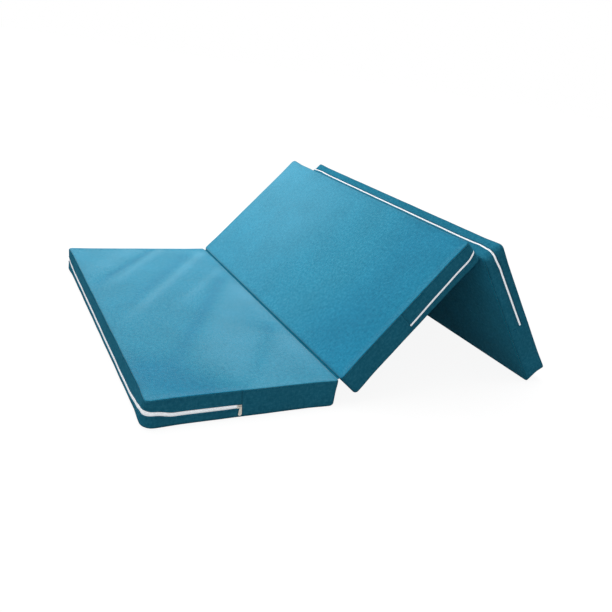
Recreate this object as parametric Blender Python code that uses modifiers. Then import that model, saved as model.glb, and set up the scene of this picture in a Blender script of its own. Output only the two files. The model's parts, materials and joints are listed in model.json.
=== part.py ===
"""A folding mattress: three foam panels in zipped cloth covers, joined by two cloth webs.

Every panel is modelled lying flat in a frame of its own: x runs from its plain end to its zipped
end, y across the mattress and z up from its underside. Empties on the two fold axes then stand
the panels in their folded position. The first panel lies on the floor, the second leans up from
its top edge and the third comes back down to the floor.
"""

from math import asin, atan2, cos, hypot, pi, radians, sin

import bmesh
import bpy
from mathutils import Matrix, Vector

# Driving sizes of one panel, in metres
PANEL_LENGTH = 0.632
PANEL_WIDTH = 1.400
PANEL_THICKNESS = 0.094
CROWN = 0.003
CROWN_REACH = 0.130
DRAWN_IN = 0.004
DRAW_REACH = 0.090
TOP_EDGE_RADIUS = 0.005
BOTTOM_EDGE_RADIUS_1 = 0.010
BOTTOM_EDGE_RADIUS_2 = 0.008
BOTTOM_EDGE_RADIUS_3 = 0.006
ZIPPED_CORNER_RADIUS = 0.027
PLAIN_CORNER_RADIUS = 0.018

# The folds
FOLD_GAP = 0.006
FOLD_REST = radians(48.5)
WEB_CLOTH = 0.0012

# Cloth, and the gap that two sewn or stacked pieces keep
CLOTH = 0.002
GAP = 0.0003

# Zipper: coil and tape
SLOT_HEIGHT = 0.013
TAPE_REACH = 0.014
TAPE_THICKNESS = 0.0008
TAPE_TAIL = 0.008
COIL_HEIGHT = 0.0017
COIL_WIDTH = 0.0022
COIL_SLIT = 0.0016

# Zipper: where it runs on each panel
ZIP_HEIGHT_1 = 0.0400
ZIP_HEIGHT_2 = 0.0370
ZIP_HEIGHT_3 = 0.0550
CORNER_RISE_1 = 0.009
CORNER_RISE_2 = 0.007
CORNER_DROP_3 = 0.006
ZIP_RUN_1 = 0.300
ZIP_RUN_2 = 0.342
ZIP_RUN_3 = 0.368

# Slider and pull, and the steps that only shape them
SLIDER_LENGTH = 0.015
SLIDER_WIDTH = 0.011
SLIDER_PLATE = 0.0016
UNDER_PLATE = 0.0012
NECK_WIDTH = 0.001
POST_WIDTH = 0.0026
POST_SPREAD = 0.0080
BRIDGE_BAR = 0.0010
PULL_THICKNESS = 0.0012
PULL_PLAY = 0.0004
EYE_RADIUS = 0.0034
EYE_HOLE_RADIUS = 0.0022
TIP_RADIUS = 0.0060
PULL_REACH = 0.0240
METAL_EDGE = 0.0003
BRIDGE_FOOT = 0.0004
MERGE_DISTANCE = 0.000003
TAPE_STEP = 0.0001

# Shares: how the curved stretches are divided
ARC_SHARES = (0, 1 / 4, 1 / 2, 3 / 4, 1)
PLAIN_ARC_SHARES = (0, 1 / 3, 2 / 3, 1)
THIRD_SHARES = (1 / 3, 2 / 3)
CROWN_SHARES = (0.2, 0.5, 1)
LEAST_CORNER_SHARE = 0.3
FILLET_LIMIT_SHARE = 0.9
SEAM_ANGLE = radians(45)
SMOOTH_ANGLE = radians(35)
BEVEL_ANGLE = radians(60)
ROLL_TURN_SHARES = (1, 1 / 2, 0, -1 / 2, -1)
EYE_STEPS = 12
TIP_STEPS = 8

# Colours: red, green, blue, roughness, metallic
CLOTH_TEAL = (0.045, 0.270, 0.400, 0.85, 0.0)
CLOTH_TEAL_SIDE = (0.035, 0.220, 0.330, 0.85, 0.0)
WEB_TEAL = (0.030, 0.180, 0.270, 0.85, 0.0)
FOAM_CREAM = (0.820, 0.780, 0.640, 0.95, 0.0)
ZIP_WHITE = (0.800, 0.800, 0.820, 0.60, 0.0)
SLIDER_METAL = (0.560, 0.550, 0.500, 0.35, 1.0)

# Derived: depths of the zipper's layers below the cloth's outer face
TAPE_FACE = CLOTH + GAP
TAPE_BACK = TAPE_FACE + TAPE_THICKNESS
COIL_FACE = TAPE_FACE - COIL_HEIGHT
PLATE_FACE = COIL_FACE - GAP
PLATE_TOP = PLATE_FACE - SLIDER_PLATE
UNDER_FACE = TAPE_BACK + GAP
UNDER_BACK = UNDER_FACE + UNDER_PLATE
FOAM_INSET = UNDER_BACK + GAP
PULL_FACE = PULL_PLAY - PLATE_TOP
BAR_FACE = PULL_FACE + PULL_THICKNESS + PULL_PLAY

# Derived: the fold axes stand off the faces that they fold together
AXIS_LIFT = CROWN + GAP

ZIPPED_END = 1
PLAIN_END = 3


class Panel:
    """One panel's name, its zipper and the swell of its underside."""

    def __init__(self, number, bottom_radius, swell_below):
        self.name = f"panel_{number}"
        self.bottom_radius = bottom_radius
        self.swell_below = swell_below

    def zip(self, zip_height, corner_rise, zip_run, slider_side):
        """The zipper's height, its swing at the corners, its run along a side and its slider's side."""
        self.zip_height = zip_height
        self.corner_rise = corner_rise
        self.zip_run = zip_run
        self.slider_side = slider_side
        lowest_slot_edge = zip_height + min(corner_rise, 0) - SLOT_HEIGHT / 2
        self.bottom_radius = min(self.bottom_radius, FILLET_LIMIT_SHARE * lowest_slot_edge)
        return self


PANEL_1 = Panel(1, BOTTOM_EDGE_RADIUS_1, 0).zip(ZIP_HEIGHT_1, CORNER_RISE_1, ZIP_RUN_1, 1)
PANEL_2 = Panel(2, BOTTOM_EDGE_RADIUS_2, CROWN).zip(ZIP_HEIGHT_2, CORNER_RISE_2, ZIP_RUN_2, 1)
PANEL_3 = Panel(3, BOTTOM_EDGE_RADIUS_3, CROWN).zip(ZIP_HEIGHT_3, -CORNER_DROP_3, ZIP_RUN_3, -1)


def clear_scene():
    for obj in list(bpy.data.objects):
        bpy.data.objects.remove(obj, do_unlink=True)


def new_collection(name, hidden=False):
    collection = bpy.data.collections.new(name)
    collection.hide_render = hidden
    bpy.context.scene.collection.children.link(collection)
    return collection


def new_material(name, look):
    red, green, blue, roughness, metallic = look
    material = bpy.data.materials.new(name)
    material.use_nodes = True
    shader = material.node_tree.nodes["Principled BSDF"]
    shader.inputs["Base Color"].default_value = (red, green, blue, 1)
    shader.inputs["Roughness"].default_value = roughness
    shader.inputs["Metallic"].default_value = metallic
    return material


def new_empty(name, parent, location=(0, 0, 0), rotation=(0, 0, 0)):
    empty = bpy.data.objects.new(name, None)
    empty.empty_display_size = FOLD_GAP
    empty.parent = parent
    empty.location = location
    empty.rotation_euler = rotation
    PARTS.objects.link(empty)
    return empty


def new_object(name, mesh, parent, look):
    obj = bpy.data.objects.new(name, mesh)
    obj.parent = parent
    obj.data.materials.append(new_material(name, look))
    PARTS.objects.link(obj)
    return obj


def loft(name, sections, parent, look):
    """A closed solid through loops of equally many points, with its first and last loop filled."""
    bm = bmesh.new()
    loops = [[bm.verts.new(point) for point in section] for section in sections]
    for near, far in zip(loops, loops[1:]):
        for i in range(len(near)):
            bm.faces.new((near[i - 1], near[i], far[i], far[i - 1]))
    bm.faces.new(loops[0])
    bm.faces.new(reversed(loops[-1]))
    bmesh.ops.recalc_face_normals(bm, faces=bm.faces)
    mesh = bpy.data.meshes.new(name)
    bm.to_mesh(mesh)
    bm.free()
    mesh.shade_smooth()
    mesh.set_sharp_from_angle(angle=SMOOTH_ANGLE)
    return new_object(name, mesh, parent, look)


def ease(share):
    """A smooth step from 0 to 1 that stays level past both ends."""
    share = min(max(share, 0), 1)
    return share * share * (3 - 2 * share)


# The outline of a panel, seen from above


def facing(side):
    """The angle that a side faces: 0 the near side, 1 the zipped end, 2 the far side, 3 the plain end."""
    return (side - 1) * pi / 2


def at_zipped_end(corner):
    """The corners before and after the zipped end."""
    return corner in (ZIPPED_END, ZIPPED_END + 1)


def corner_arc(corner, inset):
    """Centre and radius of a corner that comes before the side of the same number."""
    zipped = at_zipped_end(corner)
    full = ZIPPED_CORNER_RADIUS if zipped else PLAIN_CORNER_RADIUS
    radius = max(full - inset, full * LEAST_CORNER_SHARE)
    x = inset + radius
    y = PANEL_WIDTH / 2 - x
    return Vector((PANEL_LENGTH - x if zipped else x, y if corner > 1 else -y)), radius


def side_ends(side, inset):
    outward = Vector((cos(facing(side)), sin(facing(side))))
    start, start_radius = corner_arc(side, inset)
    end, end_radius = corner_arc((side + 1) % 4, inset)
    return start + start_radius * outward, end + end_radius * outward, outward


def side_length(side):
    start, end, _ = side_ends(side, 0)
    return (end - start).length


def drawn_in(side, share):
    """How far the cloth pulls a side in between its corners. The plain end is held straight."""
    if side == PLAIN_END:
        return 0
    return DRAWN_IN * ease(min(share, 1 - share) * side_length(side) / DRAW_REACH)


def place(station, inset, z):
    """The point of a station, which is on an arc or a side, moved inwards and up."""
    kind, index, share = station
    if kind == "arc":
        centre, radius = corner_arc(index, inset)
        angle = facing(index) - (1 - share) * pi / 2
        flat = centre + radius * Vector((cos(angle), sin(angle)))
    else:
        start, end, outward = side_ends(index, inset)
        flat = start.lerp(end, share) - outward * drawn_in(index, share)
    return Vector((flat.x, flat.y, z))


def arc_stations(corner):
    shares = ARC_SHARES if at_zipped_end(corner) else PLAIN_ARC_SHARES
    return [("arc", corner, share) for share in shares]


def side_stations(side, shares):
    return [("side", side, share) for share in shares]


def ramp_shares(side):
    """The two places near a side's start where the cloth draws in."""
    reach = DRAW_REACH / side_length(side)
    return [reach / 2, reach]


def from_end(shares):
    return [1 - share for share in reversed(shares)]


def slot_share(panel):
    """Where on the far side the zipper's slot ends, counted from the zipped corner."""
    return (panel.zip_run - ZIPPED_CORNER_RADIUS) / side_length(2)


def zipped_stations(panel, lead):
    """Stations from the near end of the slot round to its far end, each end moved out by lead."""
    end = slot_share(panel) + lead / side_length(2)
    ramp = ramp_shares(0)
    end_ramp = ramp_shares(ZIPPED_END)
    return (
        side_stations(0, [1 - end] + from_end(ramp))
        + arc_stations(1)
        + side_stations(ZIPPED_END, end_ramp + list(THIRD_SHARES) + from_end(end_ramp))
        + arc_stations(2)
        + side_stations(2, ramp + [end])
    )


def plain_stations(panel, lead):
    """Stations from the far end of the slot round the plain end to its near end."""
    start = slot_share(panel) - lead / side_length(2)
    ramp = ramp_shares(0)
    return (
        side_stations(2, [start] + from_end(ramp))
        + arc_stations(3)
        + side_stations(PLAIN_END, THIRD_SHARES)
        + arc_stations(0)
        + side_stations(0, ramp + [1 - start])
    )


def ring(panel, inset, z):
    stations = zipped_stations(panel, 0) + plain_stations(panel, 0)[1:-1]
    return [place(station, inset, z) for station in stations]


# The section of a cover: each row is an inset, a height and the two parts of its outward direction


def top_edge(angle):
    radius = TOP_EDGE_RADIUS
    height = PANEL_THICKNESS - radius * (1 - sin(angle))
    return radius * (1 - cos(angle)), height, cos(angle), sin(angle)


def bottom_edge(panel, angle):
    radius = panel.bottom_radius
    return radius * (1 - cos(angle)), radius * (1 - sin(angle)), cos(angle), -sin(angle)


def inner(row):
    """The same row on the inner face of the cloth."""
    inset, z, out, up = row
    return inset + CLOTH * out, z - CLOTH * up, out, up


def crown_rows(start, base, swell):
    """Rows from an edge to the level middle, swelling by swell, which is negative below."""
    rows = []
    for share in CROWN_SHARES:
        inset = start + (CROWN_REACH - start) * share
        rows.append((inset, base + swell * sin(share * pi / 2), 0, 1 if base else -1))
    return rows


def top_cloth(panel, parent):
    seam = SEAM_ANGLE + GAP / 2 / TOP_EDGE_RADIUS
    rows = [top_edge(seam), top_edge((seam + pi / 2) / 2), top_edge(pi / 2)]
    rows += crown_rows(TOP_EDGE_RADIUS, PANEL_THICKNESS, CROWN)
    return cloth_lid(f"{panel.name}_top_cloth", panel, rows, parent)


def bottom_cloth(panel, parent):
    radius = panel.bottom_radius
    seam = SEAM_ANGLE + GAP / 2 / radius
    rows = [bottom_edge(panel, angle) for angle in (seam, (seam + pi / 2) / 2, pi / 2)]
    if panel.swell_below:
        rows += crown_rows(radius, 0, -panel.swell_below)
    return cloth_lid(f"{panel.name}_bottom_cloth", panel, rows, parent)


def cloth_lid(name, panel, rows, parent):
    """A top or bottom cloth, lofted from its outer middle over the edge and back inside."""
    path = rows[::-1] + [inner(row) for row in rows]
    rings = [ring(panel, inset, z) for inset, z, _, _ in path]
    return loft(name, rings, parent, CLOTH_TEAL)


def band(name, panel, stations, rows_at, parent):
    """A strip of cloth along stations, whose rows run down its outer face."""
    sections = []
    for station in stations:
        rows = rows_at(station)
        path = rows + [inner(row) for row in reversed(rows)]
        sections.append([place(station, inset, z) for inset, z, _, _ in path])
    return loft(name, sections, parent, CLOTH_TEAL_SIDE)


def zip_height(panel, station):
    """Height of the coil's middle, which swings up or down where the zipper turns a corner."""
    kind, index, share = station
    if kind == "arc":
        return panel.zip_height + panel.corner_rise
    from_corner = {0: 1 - share, ZIPPED_END: min(share, 1 - share), 2: share}[index]
    distance = from_corner * side_length(index)
    return panel.zip_height + panel.corner_rise * (1 - ease(distance / DRAW_REACH))


def wall_row(z):
    return 0, z, 1, 0


def top_rows():
    seam = SEAM_ANGLE - GAP / 2 / TOP_EDGE_RADIUS
    return [top_edge(seam), top_edge(seam / 2), top_edge(0)]


def bottom_rows(panel):
    seam = SEAM_ANGLE - GAP / 2 / panel.bottom_radius
    return [bottom_edge(panel, 0), bottom_edge(panel, seam / 2), bottom_edge(panel, seam)]


def side_bands(panel, parent):
    """The plain band, and the two bands that the zipper parts."""

    def upper(station):
        return top_rows() + [wall_row(zip_height(panel, station) + SLOT_HEIGHT / 2)]

    def lower(station):
        return [wall_row(zip_height(panel, station) - SLOT_HEIGHT / 2)] + bottom_rows(panel)

    def plain(_):
        return top_rows() + bottom_rows(panel)

    zipped = zipped_stations(panel, -GAP / 2)
    band(f"{panel.name}_upper_zip_band", panel, zipped, upper, parent)
    band(f"{panel.name}_lower_zip_band", panel, zipped, lower, parent)
    band(f"{panel.name}_plain_band", panel, plain_stations(panel, -GAP / 2), plain, parent)


def tape_stations(panel):
    """Stations of a tape, each with True where its coil stands up: it lies flat behind the bands."""
    tails = zipped_stations(panel, TAPE_TAIL)
    ends = zipped_stations(panel, -GAP)
    coiled = [(station, True) for station in zipped_stations(panel, -COIL_HEIGHT)]
    start = [(tails[0], False), (ends[0], False)]
    return start + coiled + [(ends[-1], False), (tails[-1], False)]


def zip_tapes(panel, parent):
    """The two tapes behind the bands, each with its row of coil along the middle slit."""
    slit = COIL_SLIT / 2
    coil = slit + COIL_WIDTH
    reach = min(TAPE_REACH, panel.zip_height - panel.bottom_radius - GAP)
    for word, way in (("upper", 1), ("lower", -1)):
        sections = []
        for station, coiled in tape_stations(panel):
            face = COIL_FACE if coiled else TAPE_FACE - TAPE_STEP
            profile = (
                (TAPE_BACK, slit),
                (face, slit),
                (face, coil),
                (TAPE_FACE, coil),
                (TAPE_FACE, reach),
                (TAPE_BACK, reach),
            )
            middle = zip_height(panel, station)
            sections.append([place(station, inset, middle + way * z) for inset, z in profile])
        loft(f"{panel.name}_{word}_zip_tape", sections, parent, ZIP_WHITE)


def foam_core(panel, parent):
    """The foam block, which fills its cover up to the zipper's back."""
    skin = CLOTH + GAP
    low = panel.bottom_radius
    high = TOP_EDGE_RADIUS
    rows = []
    if panel.swell_below:
        rows += [(inset, z + skin) for inset, z, _, _ in crown_rows(low, 0, -panel.swell_below)][::-1]
    for angle in (pi / 2, SEAM_ANGLE, 0):
        inset, z, _, _ = bottom_edge(panel, angle)
        rows.append((FOAM_INSET + inset, skin + z))
    for angle in (0, SEAM_ANGLE, pi / 2):
        inset, z, _, _ = top_edge(angle)
        rows.append((FOAM_INSET + inset, z - skin))
    rows += [(inset, z - skin) for inset, z, _, _ in crown_rows(high, PANEL_THICKNESS, CROWN)]
    rings = [ring(panel, inset, z) for inset, z in rows]
    return loft(f"{panel.name}_foam_core", rings, parent, FOAM_CREAM)


# Slider and pull, modelled with y outwards from the cloth and x along the zipper


def extruded(name, outlines, length, parent, look, turned):
    """Flat outlines, the later ones holes, extruded evenly to both sides and made a mesh."""
    curve = bpy.data.curves.new(name, "CURVE")
    curve.dimensions = "2D"
    curve.fill_mode = "BOTH"
    curve.extrude = length / 2
    for outline in outlines:
        spline = curve.splines.new("POLY")
        spline.points.add(len(outline) - 1)
        for point, (x, y) in zip(spline.points, outline):
            point.co = (x, y, 0, 1)
        spline.use_cyclic_u = True
    solid = bpy.data.objects.new(name, curve)
    PARTS.objects.link(solid)
    bpy.context.view_layer.update()
    graph = bpy.context.evaluated_depsgraph_get()
    mesh = bpy.data.meshes.new_from_object(solid.evaluated_get(graph))
    bpy.data.objects.remove(solid)
    bpy.data.curves.remove(curve)
    bm = bmesh.new()
    bm.from_mesh(mesh)
    bmesh.ops.remove_doubles(bm, verts=bm.verts, dist=MERGE_DISTANCE)
    bmesh.ops.transform(bm, matrix=turned, verts=bm.verts)
    bmesh.ops.recalc_face_normals(bm, faces=bm.faces)
    bm.to_mesh(mesh)
    bm.free()
    mesh.name = name
    return new_object(name, mesh, parent, look)


def slider_section():
    """Half of the slider's section, as width and depth: plate, flange, neck and under plate."""
    half = SLIDER_WIDTH / 2
    channel = COIL_SLIT / 2 + COIL_WIDTH + GAP
    neck = NECK_WIDTH / 2
    right = [
        (half, -PLATE_TOP),
        (half, GAP - TAPE_FACE),
        (channel, GAP - TAPE_FACE),
        (channel, -PLATE_FACE),
        (neck, -PLATE_FACE),
        (neck, -UNDER_FACE),
        (half, -UNDER_FACE),
        (half, -UNDER_BACK),
    ]
    left = [(-width, depth) for width, depth in reversed(right)]
    return right + left


def bridge_outline():
    """The bridge over the pull, as length and height: two posts under a bar with rounded ends."""
    outer = POST_SPREAD / 2 + POST_WIDTH / 2
    opening = POST_SPREAD / 2 - POST_WIDTH / 2
    foot = -PLATE_TOP - BRIDGE_FOOT
    top = BAR_FACE + BRIDGE_BAR
    shoulder = top - BRIDGE_BAR / 2
    return [
        (outer, foot),
        (outer, shoulder),
        (outer - BRIDGE_BAR / 2, top),
        (BRIDGE_BAR / 2 - outer, top),
        (-outer, shoulder),
        (-outer, foot),
        (-opening, foot),
        (-opening, BAR_FACE),
        (opening, BAR_FACE),
        (opening, foot),
    ]


def pull_outlines():
    """A drop shape that hangs below its eye, and the eye's hole."""
    lean = asin((TIP_RADIUS - EYE_RADIUS) / PULL_REACH)
    outline = []
    for i in range(EYE_STEPS // 2 + 1):
        angle = -lean + (pi + 2 * lean) * i / (EYE_STEPS // 2)
        outline.append((EYE_RADIUS * cos(angle), EYE_RADIUS * sin(angle)))
    for i in range(TIP_STEPS + 1):
        angle = pi + lean + (pi - 2 * lean) * i / TIP_STEPS
        outline.append((TIP_RADIUS * cos(angle), TIP_RADIUS * sin(angle) - PULL_REACH))
    hole = []
    for i in range(EYE_STEPS):
        angle = 2 * pi * i / EYE_STEPS
        hole.append((EYE_HOLE_RADIUS * cos(angle), EYE_HOLE_RADIUS * sin(angle)))
    return [outline, hole]


def add_bevel(obj):
    bevel = obj.modifiers.new("rounded edges", "BEVEL")
    bevel.width = METAL_EDGE
    bevel.segments = 1
    bevel.limit_method = "ANGLE"
    bevel.angle_limit = BEVEL_ANGLE


def zip_slider(panel, parent, hang):
    """The slider at the closed end of the zipper, and its pull, turned by hang to hang plumb."""
    side = panel.slider_side
    ahead = -side
    name = f"{panel.name}_zip_slider"
    across = Matrix(((0, 0, 1, 0), (0, 1, 0, 0), (-1, 0, 0, 0), (0, 0, 0, 1)))
    slider = extruded(name, [slider_section()], SLIDER_LENGTH, parent, SLIDER_METAL, across)
    x = PANEL_LENGTH - panel.zip_run + SLIDER_LENGTH / 2 + GAP
    slider.location = (x, side * (PANEL_WIDTH / 2 - DRAWN_IN), panel.zip_height)
    slider.rotation_euler = (0, 0, 0 if side > 0 else pi)
    upright = Matrix.Identity(4)
    bridge = extruded(f"{name}_bridge", [bridge_outline()], POST_WIDTH, slider, SLIDER_METAL, upright)
    PARTS.objects.unlink(bridge)
    CUTTERS.objects.link(bridge)
    bridge.hide_render = True
    bridge.display_type = "WIRE"
    union = slider.modifiers.new("bridge", "BOOLEAN")
    union.operation = "UNION"
    union.object = bridge
    add_bevel(slider)

    flat = Matrix.Rotation(pi / 2, 4, "X")
    name = f"{panel.name}_zip_pull"
    pull = extruded(name, pull_outlines(), PULL_THICKNESS, slider, SLIDER_METAL, flat)
    pull.location = (ahead * POST_SPREAD / 2, PULL_FACE + PULL_THICKNESS / 2, 0)
    pull.rotation_euler = (0, hang, 0)
    add_bevel(pull)


# The webs that join two panels: half a web on each, up to the fold axis


def web_setback(along, half):
    """How far a web's half stops from the axis, to clear the other half when the fold is shut."""
    opening = 2 * atan2(abs(along.z), abs(along.x))
    return (half * (1 + cos(opening)) + GAP) / sin(opening)


def web_half(name, panel, side, on_top, rolled, parent):
    """One half of a web, from the seam of a panel's end to the fold axis.

    The rolled half ends in a round edge on the axis, and the other half turns round that edge.
    """
    if on_top:
        inset, z, out, up = top_edge(SEAM_ANGLE)
        axis_height = PANEL_THICKNESS + AXIS_LIFT
    else:
        inset, z, out, up = bottom_edge(panel, SEAM_ANGLE)
        axis_height = -AXIS_LIFT
    shares = [0] + list(THIRD_SHARES) + [1]
    if side == ZIPPED_END:
        ramp = ramp_shares(side)
        shares = [0] + ramp + list(THIRD_SHARES) + from_end(ramp) + [1]
    way = -1 if side == PLAIN_END else 1
    axis_x = -FOLD_GAP / 2 if side == PLAIN_END else PANEL_LENGTH + FOLD_GAP / 2
    half = WEB_CLOTH / 2
    turns = ROLL_TURN_SHARES if rolled else (1, -1)
    sections = []
    for station in side_stations(side, shares):
        seam = place(station, inset, z)
        normal = Vector((way * out, 0, up))
        tangent = Vector((-normal.z, 0, normal.x))
        axis = Vector((axis_x, seam.y, axis_height))
        along = (axis - seam).normalized()
        across = Vector((-along.z, 0, along.x))
        foot = seam + normal * GAP
        tip = axis if rolled else axis - along * web_setback(along, half)
        section = [foot - tangent * half, foot + tangent * half]
        for turn in turns:
            angle = turn * pi / 2
            section.append(tip + (along * cos(angle) + across * sin(angle)) * half)
        sections.append(section)
    return loft(name, sections, parent, WEB_TEAL)


# The folded position


def third_angle():
    """The second fold axis, and the slope at which the third panel reaches the floor."""
    x = FOLD_GAP / 2
    z = PANEL_THICKNESS + AXIS_LIFT
    along = PANEL_LENGTH + FOLD_GAP
    below = PANEL_THICKNESS + 2 * AXIS_LIFT
    axis_x = x + along * cos(FOLD_REST) + below * sin(FOLD_REST)
    axis_z = z + along * sin(FOLD_REST) - below * cos(FOLD_REST)
    inset, height, _, _ = bottom_edge(PANEL_3, SEAM_ANGLE)
    reach = FOLD_GAP / 2 + PANEL_LENGTH - inset
    rise = AXIS_LIFT + height
    slope = asin(axis_z / hypot(reach, rise)) + atan2(rise, reach)
    return axis_x, slope


def middle_of_footprint(axis_x, slope):
    """Half way between the first panel's far end and the third panel's outer edge."""
    x = FOLD_GAP / 2 + PANEL_LENGTH - TOP_EDGE_RADIUS
    z = AXIS_LIFT + PANEL_THICKNESS - TOP_EDGE_RADIUS
    outer = axis_x + x * cos(slope) + z * sin(slope) + TOP_EDGE_RADIUS
    return (outer - PANEL_LENGTH) / 2


def build_panel(panel, frame, hang):
    foam_core(panel, frame)
    top_cloth(panel, frame)
    bottom_cloth(panel, frame)
    side_bands(panel, frame)
    zip_tapes(panel, frame)
    zip_slider(panel, frame, hang)


def build_mattress():
    axis_x, slope = third_angle()
    top_axis = PANEL_THICKNESS + AXIS_LIFT
    half_gap = FOLD_GAP / 2
    base = new_empty("mattress_frame", None, (-middle_of_footprint(axis_x, slope), 0, 0))
    frame_1 = new_empty("panel_1_frame", base, rotation=(0, 0, pi))
    fold_1 = new_empty("fold_1_axis", base, (half_gap, 0, top_axis), (0, -FOLD_REST, 0))
    frame_2 = new_empty("panel_2_frame", fold_1, (half_gap, 0, -top_axis))
    fold_2_place = (PANEL_LENGTH + half_gap, 0, -AXIS_LIFT)
    fold_2 = new_empty("fold_2_axis", frame_2, fold_2_place, (0, FOLD_REST + slope, 0))
    frame_3_place = (half_gap + PANEL_LENGTH, 0, AXIS_LIFT)
    frame_3 = new_empty("panel_3_frame", fold_2, frame_3_place, (0, 0, pi))

    build_panel(PANEL_1, frame_1, 0)
    build_panel(PANEL_2, frame_2, FOLD_REST)
    build_panel(PANEL_3, frame_3, -slope)

    web_half("fold_1_web_on_panel_1", PANEL_1, PLAIN_END, True, True, frame_1)
    web_half("fold_1_web_on_panel_2", PANEL_2, PLAIN_END, True, False, frame_2)
    web_half("fold_2_web_on_panel_2", PANEL_2, ZIPPED_END, False, True, frame_2)
    web_half("fold_2_web_on_panel_3", PANEL_3, ZIPPED_END, False, False, frame_3)


clear_scene()
PARTS = new_collection("folding_mattress")
CUTTERS = new_collection("cutters", hidden=True)
build_mattress()
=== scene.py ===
"""The looks of a folding mattress: three foam panels in zipped teal covers, joined by two cloth webs.

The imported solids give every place. Each panel's cover is made in a frame of its own, where x runs
from the plain end to the zipped end, y across the mattress and z up from the underside. The first
panel lies flat, the second leans up from it and the third comes back down to the floor.
"""

import json
from dataclasses import dataclass
from math import cos, pi, radians, sin

import bpy
import numpy as np
from mathutils import Euler, Matrix, Vector


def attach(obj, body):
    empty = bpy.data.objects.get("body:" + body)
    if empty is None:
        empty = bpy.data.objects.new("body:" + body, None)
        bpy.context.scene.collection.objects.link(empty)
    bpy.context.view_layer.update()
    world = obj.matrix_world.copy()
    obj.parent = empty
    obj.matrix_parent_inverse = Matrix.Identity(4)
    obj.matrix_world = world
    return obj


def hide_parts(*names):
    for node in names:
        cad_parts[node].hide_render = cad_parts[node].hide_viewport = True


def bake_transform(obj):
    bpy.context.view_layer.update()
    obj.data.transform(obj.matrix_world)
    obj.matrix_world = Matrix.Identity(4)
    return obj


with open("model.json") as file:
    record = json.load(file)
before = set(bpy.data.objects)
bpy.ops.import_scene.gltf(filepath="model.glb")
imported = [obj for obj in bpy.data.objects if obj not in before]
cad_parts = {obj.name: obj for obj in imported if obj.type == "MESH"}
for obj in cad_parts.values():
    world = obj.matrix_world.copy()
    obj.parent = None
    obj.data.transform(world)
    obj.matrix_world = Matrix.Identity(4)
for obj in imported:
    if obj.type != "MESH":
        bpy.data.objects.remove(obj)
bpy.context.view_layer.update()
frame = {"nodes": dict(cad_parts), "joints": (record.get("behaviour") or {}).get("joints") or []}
JOINTS = {joint["name"]: joint for joint in frame["joints"]}

# Side numbers of a panel's outline; the corner before a side has the side's number
NEAR, ZIPPED_END, FAR, PLAIN_END = range(4)
ENDS = (ZIPPED_END, PLAIN_END)

# Sizes of the solids that the looks follow, in metres
PANEL_LENGTH = 0.632
PANEL_WIDTH = 1.400
PANEL_THICKNESS = 0.094
CROWN = 0.003
CROWN_REACH = 0.130
DRAWN_IN = 0.004
DRAW_REACH = 0.090
TOP_EDGE_RADIUS = 0.005
FOLD_GAP = 0.006
SEAT_GAP = 0.0003
AXIS_LIFT = CROWN + SEAT_GAP
FOAM_INSET = 0.0049

# The lid's corner radii seen from above, and the share of a wall's widening that a plain corner takes
LID_CORNER_RADIUS = 0.016
PLAIN_CORNER_RADIUS = 0.012
PLAIN_WIDENING_SHARE = 0.4

# How far the seams waver along their sides, and how fast
WAVER = 0.00018
WAVER_PACES = (19, 31, 47)

# The grid of the cloth: rings round a lid's edge, rows down the walls, and the rows beside the slot
GRID_STEP = 0.008
LEAST_STEP = GRID_STEP / 4
RING_INSETS = (0.0085, 0.0125, 0.018, 0.025, 0.034, 0.045)
LID_ANGLES = (45, 60, 75, 90)
BAND_ANGLES = (45, 30, 15, 0)
UPPER_ROWS = 6
LOWER_ROWS = 5
SLOT_TOP = len(BAND_ANGLES) - 1 + UPPER_ROWS
SLOT_LOW = SLOT_TOP + 1
TINY = 1e-12

# Seams, and how the painted shade on the cloth beside them fades away
SEAM_WIDTH = 0.0007
SEAM_DEPTH = 0.0018
SEAM_SHADE_REACH = 0.018
SEAM_SHADE_PACE = 3
END_SEAM_SHADE_FADE = 0.010
END_SEAM_DEPTH = 0.0007

# Hems: how far each row lies from the slot's edge, and how far it stands out of the wall
HEM_HEIGHT = 0.0075
HEM_FACE = 0.0008
HEM_AWAY = (0.0062, 0.0050, 0.0022, 0.0007, 0, 0.0004)
HEM_OUT = (0.0001, HEM_FACE, HEM_FACE, 0.0005, -0.0004, -0.0022)

# Stitches: places along a thread, as shares of its length, and how far they rise
STITCH_PITCH = 0.0040
STITCH_LENGTH = 0.0030
STITCH_WIDTH = 0.0007
STITCH_RISE = 0.0004
STITCH_SINK = 0.0003
STITCH_PLACE = 0.0034
STITCH_PROFILE = ((-0.5, -STITCH_SINK), (-0.25, STITCH_RISE), (0.25, STITCH_RISE), (0.5, -STITCH_SINK))

# How far the covers that meet at the first fold reach towards each other
REACH_TO_FOLD = 0.0019
FOLD_END_REACH = 0.050

# Soft folds of the top cloth
FOLD_DEPTH = 0.0040
FOLD_EDGE_REACH = 0.040
RIDGE_START_PACE = 12
RIDGE_END_PACE = 2.5

# Foam block
FOAM_STEP = 0.035
FOAM_DEPTH = 0.0026
FOAM_TOP_DEPTH = 0.0050
FOAM_ROWS = 4

# Cloth simulation of a cover: a coarser grid, held by the foam, the seams and the zipper
SETTLE_STEP = 0.016
SETTLE_INSET = 0.002
SETTLE_FRAMES = 20
SETTLE_VALUES = {
    "quality": 4,
    "mass": 0.3,
    "tension_stiffness": 15,
    "compression_stiffness": 15,
    "bending_stiffness": 0.5,
    "use_pressure": True,
    "uniform_pressure_force": 4,
    "vertex_group_mass": "held",
}
HELD_BY_FOAM = 0.45
HELD_BY_SEAM = 0.85
HELD_BY_ZIPPER = 1.0
LID_CAP = 0.0010
WALL_CAP = 0.0030
FOLD_END_CAP = 0.0005

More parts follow.
